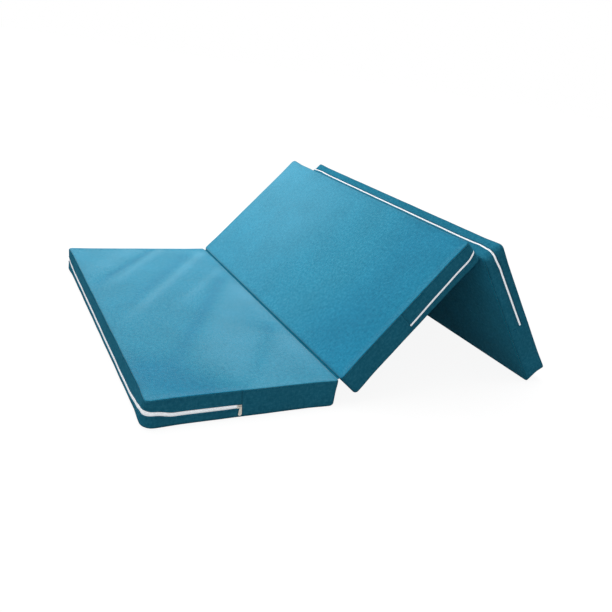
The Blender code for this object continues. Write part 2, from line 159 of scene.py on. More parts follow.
# Zipper: how it sways along the end and narrows, then its tapes and coil
SWAY_REACH = 0.160
SWAY_SPAN = 1.1
HALF_AT_SLIDER = 0.0058
TAPER_REACH = 0.055
END_REACH = 0.034
TAPE_DEPTH = 0.0023
TAPE_REACH = 0.010
WHITE_REACH = 0.0038
COIL_HALF_SLIT = 0.0004
COIL_WIDTH = 0.0026
COIL_HEIGHT = 0.0015
COIL_BACK_HEIGHT = COIL_HEIGHT * 0.8
TOOTH_PITCH = 0.0020
TOOTH_LENGTH = 0.0013
TOOTH_TOP_SHARE = 0.5
TOOTH_OVERHANG = 0.0002
TOOTH_FACES = ((2, 3, 7, 6), (0, 3, 2, 1), (0, 4, 7, 3), (1, 2, 6, 5), (4, 5, 6, 7))

# Webs
WEB_STEPS = 12
WEB_SETBACKS = {PLAIN_END: 0.012, ZIPPED_END: 0.035}
WEB_HANG_SHARE = 2.2

# Sizes of the cloth's pattern; a wave node's ridges are one unit apart at WAVE_SCALE
THREAD_PITCH = 0.0011
SLUB_LENGTH = 0.030
MOTTLE_SIZE = 0.011
BROAD_SIZE = 0.160
WEAVE_DEPTH = 0.0003
TAPE_RIB = 0.0009
WAVE_SCALE = 2 * pi / 20
THREAD_DISTORTION = 1.2

# The grain of the coil, the metal and the foam, in waves to a metre, and its depth
COIL_GRAIN = 900
WEAR_GRAIN = 180
SCRATCH_GRAIN = (400, 3000)
SCRATCH_DEPTH = 0.00004
FOAM_CELLS = 500
FOAM_CELL_DEPTH = 0.0006
FOAM_BLOTCHES = 12

# Roughness and shading from the lowest to the highest tone
CLOTH_ROUGHNESS = (0.95, 0.82)
COIL_ROUGHNESS = (0.30, 0.45)
METAL_ROUGHNESS = (0.26, 0.46)
TAPE_ROUGHNESS = 0.7
FOAM_ROUGHNESS = 0.95
TAPE_SHADE = (0.7, 1.0)
FOAM_SHADE = (0.94, 1.03)

# Shares that add up to the weave's tone and relief, and how far the tone and the broad shade swing
THREAD_TONE_SHARE = 0.30
MOTTLE_TONE_SHARE = 0.40
CROSSING_RELIEF_SHARE = 1.6
TONE_RELIEF_SHARE = 0.5
RIB_SHARE = 0.4
FULL = (0.0, 1.0)
NOISE_SPREAD = (0.3, 0.7)
NARROW_SPREAD = (0.35, 0.65)
TONE_SPREAD = (0.385, 0.615)
BROAD_SHADE = (0.95, 1.05)
# How dark the painted shade beside a seam makes the cloth
PAINTED_SEAM_SHADE = 0.72

# The cloth's sheen, the painted light on a soft fold's ridge, and the painted shade's tint in its hollow
SHEEN_ROUGHNESS = 0.40
SHEEN_TINT = (1.0, 0.96, 0.90)
PAINTED_FOLD_LIGHT_SHARE = 0.30
PAINTED_HOLLOW_SHADE = (0.35, 0.82, 0.90)
TEAL_PAINTED_FOLD_LIGHT = (0.150, 0.460, 0.630)

# Colours from deep to pale
TEAL = ((0.010, 0.210, 0.350), (0.020, 0.285, 0.445), (0.055, 0.375, 0.540))
# The walls' teal: the cover's teal darkened as painted shade; the dyed tape and the thread take it too
SIDE_TEAL_IN_PAINTED_SHADE = ((0.010, 0.140, 0.230), (0.018, 0.185, 0.290), (0.040, 0.245, 0.360))
# The webs' teal: darker still, painted shade for the shaded groove at each fold
WEB_TEAL_IN_PAINTED_SHADE = ((0.006, 0.125, 0.205), (0.010, 0.165, 0.260), (0.024, 0.215, 0.320))
ZIPPER_WHITE = ((0.78, 0.80, 0.83), (0.90, 0.92, 0.94))
# Glow of the white zipper: painted light that keeps it bright in the shade, though it is no lamp
PAINTED_ZIPPER_GLOW = 0.34
BARE_METAL = (0.58, 0.57, 0.54)
WORN_METAL = (0.46, 0.43, 0.36)
FOAM_CREAM = ((0.70, 0.64, 0.48), (0.86, 0.82, 0.68))

# Camera, fitted to the photograph
CAMERA_PLACE = (-1.2886, -2.3817, 1.0859)
CAMERA_AZIMUTH = radians(-31.100)
CAMERA_ELEVATION = radians(14.301)
CAMERA_ROLL = radians(9.375)
FOCAL_PIXELS = 677.14
CENTRE_PIXELS = (26.83, -70.06)
FRAME_PIXELS = 612
SENSOR = 36

# Light levels: what the sky gives to all sides, and what a sun adds to a face turned to it
SKY_LEVEL = 0.36
KEY_LEVEL = 0.52
KEY_WAY = (0.10, -0.22, -1)
KEY_ANGLE = 50
FILL_LEVEL = 0.20
FILL_WAY = (1, 0.85, -0.30)
FILL_ANGLE = 60
WINDOW_PLACE = (-0.45, 1.45, 1.50)
WINDOW_TARGET = (0.05, 0.35, 0.30)
WINDOW_SIZE = 0.9
WINDOW_POWER = 14

# Floor: white where it is seen, with a share that takes shadows, and grey to the object
FLOOR_SIZE = 40
FLOOR_DROP = 0.0005
FLOOR_LIT = (0.13, 0.13, 0.13)
FLOOR_GLOW = 0.91
FLOOR_GREY = (0.24, 0.24, 0.24)
WHITE = (1, 1, 1)


@dataclass
class Panel:
    """A panel's place, underside, zipper and soft folds, in metres."""

    # Its number, whether its y axis runs against the world's, and a fold's place in its own frame
    number: int
    turned: bool
    fold: str
    fold_place: tuple

    # Its underside's edge radius and crown
    bottom_radius: float
    swell_below: float

    # The zipper's height, its run along the long sides, and the y sign of the side without its slider
    zip_height: float
    zip_run: float
    free_way: int

    # How much wider than the lid's the zipped corners bend, at the underside and at the zipper
    widening_below: float
    widening: float = 0.018

    # The zipper's rise at the corners, how near them it is level, and over what length it ends
    corner_rise: float = 0.010
    rise_level: float = 0.034
    rise_reach: float = 0.060

    # How far it lies off its height on the side without its slider, at its end and at the corner
    slant_start: float = 0
    slant_end: float = 0

    # How it sways along the end: all of it, and one half against the other
    lift: float = 0
    lean: float = 0

    # Half the slot's height, along its run and along the end
    half: float = 0.0062
    half_at_end: float = 0.0062

    # Soft folds of the top cloth: start, end, width and strength of each; they also place the painted light
    # and shade on the folds
    ridges: tuple = ()

    def __post_init__(self):
        self.name = f"panel_{self.number}"
        along = Vector(JOINTS[f"zip_{self.number}_slide"]["axis"])
        across = Vector((0, -1 if self.turned else 1, 0))
        rotation = Matrix((along, across, along.cross(across))).transposed()
        origin = Vector(JOINTS[self.fold]["pos_m"]) - rotation @ Vector(self.fold_place)
        self.matrix = Matrix.Translation(origin) @ rotation.to_4x4()

    def world(self, points):
        """Points of the panel's frame as world points, in an array of the same shape."""
        matrix = np.array(self.matrix)
        return points @ matrix[:3, :3].T + matrix[:3, 3]


TOP_AXIS = (-FOLD_GAP / 2, 0, PANEL_THICKNESS + AXIS_LIFT)
LOW_AXIS = (PANEL_LENGTH + FOLD_GAP / 2, 0, -AXIS_LIFT)
ONE = Panel(
    number=1,
    turned=True,
    fold="fold_1",
    fold_place=TOP_AXIS,
    bottom_radius=0.010,
    swell_below=0,
    zip_height=0.040,
    zip_run=0.300,
    free_way=-1,
    widening_below=0.022,
    lift=-0.0110,
    lean=-0.0030,
    half=0.0064,
    half_at_end=0.0083,
    ridges=(
        ((0.20, -0.70), (0.62, -0.10), 0.022, 0.9),
        ((0.25, -0.69), (0.65, -0.16), 0.016, -0.8),
        ((0.33, -0.70), (0.66, -0.28), 0.050, 0.6),
        ((0.00, -0.67), (0.64, 0.26), 0.024, 1.1),
        ((0.08, -0.64), (0.60, 0.12), 0.030, -0.5),
        ((0.00, -0.42), (0.40, 0.12), 0.022, 0.6),
        ((0.03, -0.31), (0.58, 0.66), 0.030, -0.8),
        ((0.00, -0.20), (0.46, 0.70), 0.090, 0.7),
        ((0.02, 0.20), (0.32, 0.72), 0.032, -0.7),
        ((0.02, -0.30), (0.02, 0.78), 0.045, 0.6),
        ((0.36, 0.76), (0.70, 0.40), 0.110, -1.2),
        ((0.05, 0.30), (0.42, 0.85), 0.140, 0.7),
    ),
)
TWO = Panel(
    number=2,
    turned=False,
    fold="fold_1",
    fold_place=TOP_AXIS,
    bottom_radius=0.008,
    swell_below=CROWN,
    zip_height=0.037,
    zip_run=0.342,
    free_way=-1,
    widening_below=0.006,
    widening=0,
    rise_level=0,
    rise_reach=0.045,
    slant_start=-0.0107,
    slant_end=-0.0010,
    lift=0.012,
    ridges=(
        ((0.62, 0.85), (0.25, -0.15), 0.300, 0.7),
        ((-0.05, -1.00), (0.30, -0.25), 0.300, -0.9),
        ((0.72, -0.90), (0.50, -0.20), 0.220, -0.7),
    ),
)
THREE = Panel(
    number=3,
    turned=True,
    fold="fold_2",
    fold_place=LOW_AXIS,
    bottom_radius=0.006,
    swell_below=CROWN,
    zip_height=0.055,
    zip_run=0.368,
    free_way=1,
    widening_below=0.006,
    corner_rise=-0.006,
    slant_start=0.0018,
    slant_end=-0.0012,
    lift=-0.0035,
    half_at_end=0.0040,
)


def ease(share):
    """A smooth step from 0 to 1 that stays level past both ends."""
    share = np.clip(share, 0, 1)
    return share * share * (3 - 2 * share)


def unit(vectors):
    """Vectors scaled to length 1; one with no length stays as it is."""
    return vectors / np.maximum(np.linalg.norm(vectors, axis=-1, keepdims=True), TINY)


def path_length(points):
    """How far along its path each point lies; a path runs along the first axis."""
    steps = np.linalg.norm(np.diff(points, axis=0), axis=-1)
    return np.concatenate([steps[:1] * 0, np.cumsum(steps, axis=0)])


# The outline of a panel, seen from above


def corner_radius(corner, inset, widening):
    """Radius of the corner before a side; the zipped end's corners widen most."""
    if corner in (ZIPPED_END, FAR):
        return np.maximum(LID_CORNER_RADIUS + widening - inset, 0)
    return np.maximum(PLAIN_CORNER_RADIUS + widening * PLAIN_WIDENING_SHARE - inset, 0)


def side_size(side):
    return PANEL_WIDTH if side in ENDS else PANEL_LENGTH


def outline(side, share, inset, widening=0):
    """Points at shares of a side, each from mid-corner to mid-corner, moved inwards by inset."""
    share, inset, widening = (np.asarray(given, float) for given in (share, inset, widening))
    share, inset, widening = np.broadcast_arrays(share, inset, widening)
    first = corner_radius(side, inset, widening)
    last = corner_radius((side + 1) % 4, inset, widening)
    straight = side_size(side) - 2 * inset - first - last
    path = share * (straight + (first + last) * pi / 4)
    on_first = np.minimum(path, first * pi / 4)
    on_last = np.maximum(path - first * pi / 4 - straight, 0)
    on_straight = np.clip(path - first * pi / 4, 0, straight)
    start = np.divide(on_first, first, out=np.full_like(first, pi / 4), where=first > 0) - pi / 4
    end = np.divide(on_last, last, out=np.zeros_like(last), where=last > 0)
    along = inset + first + on_straight + first * np.sin(start) + last * np.sin(end)
    out = first * (1 - np.cos(start)) + last * (1 - np.cos(end)) + inset
    fade = np.clip(1 - inset / CROWN_REACH, 0, 1)
    if side != PLAIN_END:
        from_corner = np.minimum(along - first, side_size(side) - last - along)
        waver = sum(np.sin(along * pace + 2 * side + turn) for turn, pace in enumerate(WAVER_PACES))
        out = out + (DRAWN_IN + WAVER * waver) * fade * ease(from_corner / DRAW_REACH)
    return {
        NEAR: (along, out - PANEL_WIDTH / 2),
        ZIPPED_END: (PANEL_LENGTH - out, along - PANEL_WIDTH / 2),
        FAR: (PANEL_LENGTH - along, PANEL_WIDTH / 2 - out),
        PLAIN_END: (out, PANEL_WIDTH / 2 - along),
    }[side]


def edge_insets(radius):
    """Insets of a lid's outer rings: the ones round its edge, then the ones on its face."""
    round_ones = [radius * (1 - cos(radians(angle))) for angle in LID_ANGLES]
    start = radius + (RING_INSETS[0] - TOP_EDGE_RADIUS)
    share = (RING_INSETS[-1] - start) / (RING_INSETS[-1] - RING_INSETS[0])
    return np.array(round_ones + [start + (inset - RING_INSETS[0]) * share for inset in RING_INSETS])


def grid_lines(size, insets, step=GRID_STEP):
    """Places of the grid's lines across a lid of that size: close at both edges, even between."""
    middle = size - 2 * insets[-1]
    count = round(middle / step)
    inner = insets[-1] + middle * np.arange(1, count) / count
    return np.concatenate([insets, inner, size - insets[::-1]])


def spread(lines):
    """Places from first to last as shares from 0 to 1."""
    return (lines - lines[0]) / (lines[-1] - lines[0])


def within(grid, ring):
    """A grid without that many of its outer rings."""
    return grid[ring : len(grid) - ring, ring : grid.shape[1] - ring]


def loop_of(grid, ring=0):
    """The points of a grid's ring, from the first corner round all four sides."""
    inner = within(grid, ring)
    return np.concatenate([inner[:-1, 0], inner[-1, :-1], inner[:0:-1, -1], inner[0, :0:-1]])


def set_loop(grid, points):
    """Puts points in the order of loop_of on a grid's outer ring."""
    places = np.indices(grid.shape[:2]).transpose(1, 2, 0)
    grid[tuple(loop_of(places).T)] = points


def closed(rows):
    """Rows round a panel whose last point is their first one."""
    return np.concatenate([rows, rows[:, :1]], axis=1)


def widened(loop, nx, ny):
    """A ring's points lined up with the ring outside it, whose corners repeat them."""
    parts = []
    start = 0
    for count in (nx, ny, nx, ny):
        part = loop[start : start + count]
        start += count
        parts += [part[:1], part, loop[start % len(loop)][None]]
    return np.concatenate(parts)


def loop_stations(step=GRID_STEP):
    """The sides and the shares of the stations round a panel, in the order of loop_of."""
    insets = edge_insets(TOP_EDGE_RADIUS)
    shares = [spread(grid_lines(side_size(side), insets, step))[:-1] for side in range(4)]
    sides = [np.full(len(part), side) for side, part in enumerate(shares)]
    return np.concatenate(sides), np.concatenate(shares)


# The cover's surface


def ridge(x, y, start, end, width):
    """The share of a soft ridge from start to end at each point; it fades at both ends."""
    run = np.array(end) - np.array(start)
    length = np.hypot(*run)
    along = ((x - start[0]) * run[0] + (y - start[1]) * run[1]) / length**2
    aside = ((x - start[0]) * run[1] - (y - start[1]) * run[0]) / length
    fade = ease(along * RIDGE_START_PACE) * ease((1 - along) * RIDGE_END_PACE)
    return np.exp(-((aside / width) ** 2)) * fade


def resting_folds(panel, x, y):
    """How high a point of the lid is on its soft folds, from -1 in a hollow to 1 on a ridge."""
    total = np.zeros_like(x)
    for start, end, width, strength in panel.ridges:
        total = total + strength * ridge(x, y, start, end, width)
    return np.clip(total, -1, 1)


def face_height(x, y, swell):
    """How far a lid's face stands over its edge: the crown of the foam."""
    from_end = np.minimum(x, PANEL_LENGTH - x) - TOP_EDGE_RADIUS
    from_side = PANEL_WIDTH / 2 - np.abs(y) - TOP_EDGE_RADIUS
    reach = CROWN_REACH - TOP_EDGE_RADIUS
    rise = [np.sin(np.clip(distance / reach, 0, 1) * pi / 2) for distance in (from_end, from_side)]
    return swell * rise[0] * rise[1]


def edge_distance(x, y):
    """How far a point of a lid lies from the nearest side of the panel."""
    return np.minimum(np.minimum(x, PANEL_LENGTH - x), PANEL_WIDTH / 2 - np.abs(y))


def lid_grid(panel, on_top, step=GRID_STEP):
    """Points of a top or bottom lid as a grid, in the panel's frame."""
    radius = TOP_EDGE_RADIUS if on_top else panel.bottom_radius
    widening = 0 if on_top else panel.widening_below
    insets = edge_insets(radius)
    lines_x = grid_lines(PANEL_LENGTH, insets, step)
    lines_y = grid_lines(PANEL_WIDTH, insets, step)
    plan = np.stack(np.meshgrid(lines_x, lines_y - PANEL_WIDTH / 2, indexing="ij"), axis=-1)
    for ring, inset in enumerate(insets):
        inner = within(plan, ring)
        for side, edge in enumerate((inner[:, 0], inner[-1], inner[::-1, -1], inner[0, ::-1])):
            lines = lines_y if side in ENDS else lines_x
            shares = spread(lines[ring : len(lines) - ring])
            edge[:] = np.stack(outline(side, shares, inset, widening), axis=-1)
    x, y = plan[..., 0], plan[..., 1]
    height = face_height(x, y, CROWN if on_top else panel.swell_below)
    if on_top:
        sunk = FOLD_DEPTH * (1 - resting_folds(panel, x, y)) / 2
        height = height - sunk * ease(edge_distance(x, y) / FOLD_EDGE_REACH)
    from_x, from_y = (np.minimum(np.arange(size), np.arange(size)[::-1]) for size in height.shape)
    rings = np.minimum.outer(from_x, from_y)
    for ring, angle in enumerate(LID_ANGLES):
        height[rings == ring] = -radius * (1 - sin(radians(angle)))
    z = PANEL_THICKNESS + height if on_top else -height
    return np.stack([x, y, z], axis=-1)


def middle_height(panel, x, y):
    """Height of the zipper's middle beside a point of the outline: it swings at the zipped corners."""
    radius = LID_CORNER_RADIUS + panel.widening
    from_side = PANEL_WIDTH / 2 - np.abs(y)
    from_end = PANEL_LENGTH - x
    from_corner = np.maximum(from_side, from_end)
    rise = panel.corner_rise * (1 - ease((from_corner - panel.rise_level) / panel.rise_reach))
    sway = panel.lift + panel.lean * np.sin(pi * y / SWAY_SPAN)
    sway = np.where(from_end < radius, sway * ease((from_side - radius) / SWAY_REACH), 0)
    share = np.clip((panel.zip_run - from_end) / (panel.zip_run - radius), 0, 1)
    slant = panel.slant_start + (panel.slant_end - panel.slant_start) * share
    slant = np.where(y * panel.free_way > 0, slant, 0) * ease(from_end / radius)
    return panel.zip_height + rise + sway + slant * ease(1 - (from_side - radius) / radius)


def slot_half(panel, x):
    """Half the height of the slot between the hems, which narrows towards the slider."""
    beyond = x - (PANEL_LENGTH - panel.zip_run)
    half = HALF_AT_SLIDER + (panel.half - HALF_AT_SLIDER) * ease(beyond / TAPER_REACH)
    return half + (panel.half_at_end - panel.half) * ease((x - PANEL_LENGTH + END_REACH) / END_REACH)


def widening_at(panel, z, middle):
    """How much wider than the lid's the zipped corners bend at a height of the wall."""
    high = PANEL_THICKNESS - TOP_EDGE_RADIUS
    above = ease((high - z) / (high - middle)) * panel.widening
    share = ease((middle - z) / (middle - panel.bottom_radius))
    below = panel.widening + (panel.widening_below - panel.widening) * share
    return np.where(z > middle, above, below)


def band_rows(panel, top_seam, low_seam, step=GRID_STEP):
    """Rows of points down the side walls, from the top lid's seam to the bottom lid's."""
    sides, shares = loop_stations(step)

    def row(inset, z):
        z = np.broadcast_to(z, len(sides))
        widening = widening_at(panel, z, middle)
        chosen = [sides == side for side in range(4)]
        places = [outline(side, shares[own], inset, widening[own]) for side, own in enumerate(chosen)]
        return np.stack([*np.concatenate(places, axis=1), z], axis=-1)

    middle = np.full(len(sides), panel.zip_height)
    wall = row(0, panel.zip_height)
    middle = middle_height(panel, wall[:, 0], wall[:, 1])
    half = slot_half(panel, wall[:, 0])
    high = PANEL_THICKNESS - TOP_EDGE_RADIUS
    rows = [top_seam]
    for angle in BAND_ANGLES[1:]:
        turn = radians(angle)
        rows.append(row(TOP_EDGE_RADIUS * (1 - cos(turn)), high + TOP_EDGE_RADIUS * sin(turn)))
    for share in np.arange(1, UPPER_ROWS) / (UPPER_ROWS - 1):
        rows.append(row(0, high + (middle + half + HEM_HEIGHT - high) * share))
    rows += [row(0, middle + half), row(0, middle - half)]
    start = middle - half - HEM_HEIGHT
    for share in np.arange(LOWER_ROWS - 1) / (LOWER_ROWS - 1):
        rows.append(row(0, start + (panel.bottom_radius - start) * share))
    for angle in BAND_ANGLES[::-1][:-1]:
        turn = radians(angle)
        rows.append(row(panel.bottom_radius * (1 - cos(turn)), panel.bottom_radius * (1 - sin(turn))))
    rows.append(low_seam)
    return np.stack(rows)


# Meshes from grids


def grid_faces(index):
    """Faces of a grid, from its points' numbers."""
    corners = (index[:-1, :-1], index[1:, :-1], index[1:, 1:], index[:-1, 1:])
    return np.stack([corner.ravel() for corner in corners], axis=-1)


def new_object(name, data):
    """An object in the scene."""
    obj = bpy.data.objects.new(name, data)
    bpy.context.scene.collection.objects.link(obj)
    return obj


def new_piece(name, points, faces, materials):
    """A smooth mesh object in the scene."""
    mesh = bpy.data.meshes.new(name)
    mesh.from_pydata(points.reshape(-1, 3).tolist(), [], faces.tolist())
    for material in materials:
        mesh.materials.append(material)
    mesh.shade_smooth()
    return new_object(name, mesh)


def grid_mesh(name, points, uv, *materials, **shares):
    """An open mesh of a grid of world points, with its cloth coordinates and named shares."""
    rows, columns = points.shape[:2]
    faces = grid_faces(np.arange(rows * columns).reshape(rows, columns))
    obj = new_piece(name, points, faces, materials)
    layer = obj.data.uv_layers.new(name="cloth")
    layer.data.foreach_set("uv", uv.reshape(-1, 2)[faces.ravel()].astype(np.float32).ravel())
    for word, values in shares.items():
        attribute = obj.data.attributes.new(word, "FLOAT", "POINT")
        attribute.data.foreach_set("value", values.astype(np.float32).ravel())
    return obj


def closed_form(top, low, walls):
    """Points and faces of a closed form: a top grid, a bottom grid and the rows between their edges."""
    points = np.concatenate([grid.reshape(-1, 3) for grid in (top, low, walls)])
    count = top.size // 3
    numbers = np.arange(len(points))
    above, below = numbers[: 2 * count].reshape(2, *top.shape[:2])
    between = numbers[2 * count :].reshape(walls.shape[:2])
    loops = closed(np.concatenate([loop_of(above)[None], between, loop_of(below)[None]]))
    return points, np.concatenate([grid_faces(above), grid_faces(below[:, ::-1]), grid_faces(loops)])


def repeated_piece(name, panel, line, facing, way, corners, faces, material):
    """Copies of a small form at a line's points; a corner is along the line, across it and out of it."""
    along = unit(np.gradient(line, axis=0))
    up = np.array((0, 0, way))
    points = np.stack([line + along * x + up * across + facing * out for x, across, out in corners], axis=1)
    faces = (np.arange(len(points))[:, None, None] * len(corners) + faces).reshape(-1, 4)
    if way < 0:
        faces = faces[:, ::-1]
    return new_piece(name, panel.world(points), faces, [material])


# The cloth simulation


def swelled(panel):
    """How far the points of a coarse cover move as its cloth swells: top lid, bottom lid, walls."""
    top = lid_grid(panel, True, SETTLE_STEP)
    low = lid_grid(panel, False, SETTLE_STEP)
    rows = band_rows(panel, loop_of(top), loop_of(low), SETTLE_STEP)
    points, faces = closed_form(top, low, rows[1:-1])
    size = np.array((PANEL_LENGTH, PANEL_WIDTH, PANEL_THICKNESS))
    middle = size * (0.5, 0, 0.5)
    points = middle + (points - middle) * (1 - 2 * SETTLE_INSET / size)
    obj = new_piece("cover in simulation", points, faces, [])
    count = top.size // 3
    ring = loop_of(np.arange(count).reshape(top.shape[:2]))
    slot = 2 * count + (SLOT_TOP - 1) * len(ring)
    group = obj.vertex_groups.new(name="held")
    group.add(list(range(len(points))), HELD_BY_FOAM, "REPLACE")
    group.add([*ring.tolist(), *(ring + count).tolist()], HELD_BY_SEAM, "REPLACE")
    group.add(list(range(slot, slot + 2 * len(ring))), HELD_BY_ZIPPER, "REPLACE")
    cloth = obj.modifiers.new("cloth", "CLOTH")
    for name, value in SETTLE_VALUES.items():
        setattr(cloth.settings, name, value)
    cloth.settings.effector_weights.gravity = 0
    cloth.collision_settings.use_collision = False
    cloth.point_cache.frame_start = 1
    cloth.point_cache.frame_end = SETTLE_FRAMES
    for moment in range(1, SETTLE_FRAMES + 1):
        bpy.context.scene.frame_set(moment)
    settled = obj.evaluated_get(bpy.context.evaluated_depsgraph_get()).data
    places = np.empty(points.size, np.float32)
    settled.vertices.foreach_get("co", places)
    moves = places.reshape(-1, 3) - points
    bpy.context.scene.frame_set(1)
    bpy.data.meshes.remove(obj.data)
    return *moves[: 2 * count].reshape(2, *top.shape), moves[2 * count :].reshape(rows[1:-1].shape)


def carried(values, coarse, fine, axis):
    """Values on coarse lines carried to fine ones along an axis."""
    place = np.interp(fine, coarse, np.arange(len(coarse)))
    before = np.minimum(place.astype(int), len(coarse) - 2)
    share = (place - before).reshape([-1 if i == axis else 1 for i in range(values.ndim)])
    return np.take(values, before, axis) * (1 - share) + np.take(values, before + 1, axis) * share


def settle(panel, top, low, rows):
    """Moves a cover's points as the cloth simulation says, no further than the caps."""
    top_moves, low_moves, wall_moves = swelled(panel)
    for grid, move, radius, caps in (
        (top, top_moves, TOP_EDGE_RADIUS, (-LID_CAP, 0)),
        (low, low_moves, panel.bottom_radius, (0, LID_CAP)),
    ):
        insets = edge_insets(radius)
        for axis, length in enumerate((PANEL_LENGTH, PANEL_WIDTH)):
            coarse, fine = grid_lines(length, insets, SETTLE_STEP), grid_lines(length, insets)
            move = carried(move, coarse, fine, axis)
        rise = move[..., 2] - np.median(move[..., 2])
        from_edge = edge_distance(grid[..., 0], grid[..., 1])
        grid[..., 2] += np.clip(rise, *caps) * ease(from_edge / FOLD_EDGE_REACH)
    coarse, fine = (np.add(*loop_stations(step)) for step in (SETTLE_STEP, GRID_STEP))
    move = carried(closed(wall_moves), np.append(coarse, 4), fine, 1)
    x = rows[1:-1, :, 0]
    facing_fold = (x < RING_INSETS[0]) | ((x > PANEL_LENGTH - RING_INSETS[0]) & (panel is not ONE))
    cap = np.where(facing_fold, FOLD_END_CAP, WALL_CAP)
    far = np.linalg.norm(move, axis=-1)
    rows[1:-1] += move * np.minimum(1, cap / np.maximum(far, TINY))[..., None]
    rows[0], rows[-1] = loop_of(top), loop_of(low)


def reach_to_fold(points):
    """Stretches the plain end of a cover towards the fold."""
    points[..., 0] -= REACH_TO_FOLD * ease(1 - points[..., 0] / FOLD_END_REACH)


# Materials


class Graph:
    """A material's nodes, which read a piece's own cloth coordinates in metres."""

    def __init__(self, name, metallic=0.0, specular=0.5):
        self.material = bpy.data.materials.new(name)
        self.material.use_nodes = True
        self.tree = self.material.node_tree
        self.shader = self.tree.nodes["Principled BSDF"]
        self.set("Metallic", metallic)
        self.set("Specular IOR Level", specular)

    def link(self, value, socket):
        """Sets a socket from a node's output, a number or a colour."""
        if isinstance(value, bpy.types.NodeSocket):
            self.tree.links.new(value, socket)
        elif socket.type == "RGBA":
            socket.default_value = (*value, 1)
        else:
            socket.default_value = value

    def set(self, name, value):
        """Sets an input of the material's shader."""
        self.link(value, self.shader.inputs[name])

    def add(self, kind, inputs, **settings):
        """A new node with its settings and its inputs, by name or number."""
        node = self.tree.nodes.new("ShaderNode" + kind)
        for name, value in settings.items():
            setattr(node, name, value)
        for name, value in inputs.items():
            self.link(value, node.inputs[name])
        return node

    def cloth_place(self, along, across=None):
        """Cloth coordinates stretched by two scales, or by one both ways."""
        across = along if across is None else across
        return self.scaled(self.add("UVMap", {}, uv_map="cloth").outputs["UV"], (along, across, 1))

    def object_place(self, along, across=None):
        """The object's own coordinates, stretched in the same way."""
        across = along if across is None else across
        return self.scaled(self.add("TexCoord", {}).outputs["Object"], (along, across, across))

    def scaled(self, vector, scale):
        return self.add("Mapping", {"Vector": vector, "Scale": scale}).outputs["Vector"]

    def noise(self, vector, detail=2.0, roughness=0.5):
        inputs = {"Vector": vector, "Scale": 1.0, "Detail": detail, "Roughness": roughness}
        return self.add("TexNoise", inputs).outputs["Fac"]

    def bands(self, vector, direction, distortion=0.0):
        """Waves whose ridges are one unit apart."""
        inputs = {"Vector": vector, "Scale": WAVE_SCALE, "Distortion": distortion, "Detail": 1.0}
        return self.add("TexWave", inputs, bands_direction=direction).outputs["Fac"]

    def math(self, operation, first, second):
        return self.add("Math", {0: first, 1: second}, operation=operation).outputs[0]

    def total(self, *terms):
        """The sum of values times their shares."""
        total, *others = [self.math("MULTIPLY", value, share) for value, share in terms]
        for value in others:
            total = self.math("ADD", total, value)
        return total

    def range(self, value, source, target):
        """A value carried from one range to another, and kept inside it."""
        return self.add("MapRange", dict(enumerate((value, *source, *target)))).outputs[0]

    def mix(self, share, first, second):
        """A colour between two colours."""
        return self.add("Mix", {0: share, 6: first, 7: second}, data_type="RGBA").outputs[2]

    def tinted(self, color, tint):
        """A colour times a number or another colour."""
        return self.add("VectorMath", {0: color, 1: tint}, operation="MULTIPLY").outputs[0]

    def attribute(self, name):
        return self.add("Attribute", {}, attribute_name=name).outputs["Fac"]

    def bump(self, height, distance, strength):
        inputs = {"Distance": distance, "Strength": strength, "Height": height}
        self.set("Normal", self.add("Bump", inputs).outputs["Normal"])

    def finish(self, color, roughness):
        self.set("Base Color", color)
        self.set("Roughness", roughness)
        return self.material


def linen(name, colors, sheen, fold_light_color=WHITE):
    """Heathered linen weave: uneven threads both ways, soft mottling, painted shade at the seams, and
    painted light and shade on the soft folds.
    """
    deep, middle, pale = colors
    threads = 1 / THREAD_PITCH
    slubs = 1 / SLUB_LENGTH
    graph = Graph(name, specular=0.03)
    warp_tone = graph.noise(graph.cloth_place(threads, slubs), detail=2.0, roughness=0.6)
    weft_tone = graph.noise(graph.cloth_place(slubs, threads), detail=2.0, roughness=0.6)
    mottle = graph.noise(graph.cloth_place(1 / MOTTLE_SIZE), detail=3.0, roughness=0.65)
    broad = graph.noise(graph.cloth_place(1 / BROAD_SIZE), detail=1.0)
    tone = graph.total(
        (warp_tone, THREAD_TONE_SHARE),
        (weft_tone, THREAD_TONE_SHARE),
        (mottle, MOTTLE_TONE_SHARE),
    )
    tone = graph.range(tone, TONE_SPREAD, FULL)
    color = graph.mix(graph.range(tone, (0.0, 0.5), FULL), deep, middle)
    color = graph.mix(graph.range(tone, (0.5, 1.0), FULL), color, pale)
    # Painted light towards a pale colour on the folds' ridges, and painted shade in their hollows
    nap = graph.attribute("nap")
    color = graph.mix(graph.range(nap, FULL, (0.0, PAINTED_FOLD_LIGHT_SHARE)), color, fold_light_color)
    color = graph.mix(graph.range(nap, (-1.0, 0.0), (1.0, 0.0)), color, graph.tinted(color, PAINTED_HOLLOW_SHADE))
    # Painted shade beside the seams, times a broad random tone
    seam = graph.range(graph.attribute("seam"), FULL, (1.0, PAINTED_SEAM_SHADE))
    shade = graph.math("MULTIPLY", seam, graph.range(broad, NOISE_SPREAD, BROAD_SHADE))
    waves = [graph.bands(graph.cloth_place(threads), way, THREAD_DISTORTION) for way in "XY"]
    over = graph.math("MULTIPLY", *[graph.math("SUBTRACT", wave, 0.5) for wave in waves])
    relief = graph.total((over, CROSSING_RELIEF_SHARE), (tone, TONE_RELIEF_SHARE))
    graph.bump(relief, WEAVE_DEPTH, strength=0.8)
    graph.set("Sheen Weight", sheen)
    graph.set("Sheen Roughness", SHEEN_ROUGHNESS)
    graph.set("Sheen Tint", SHEEN_TINT)
    return graph.finish(graph.tinted(color, shade), graph.range(tone, FULL, CLOTH_ROUGHNESS))


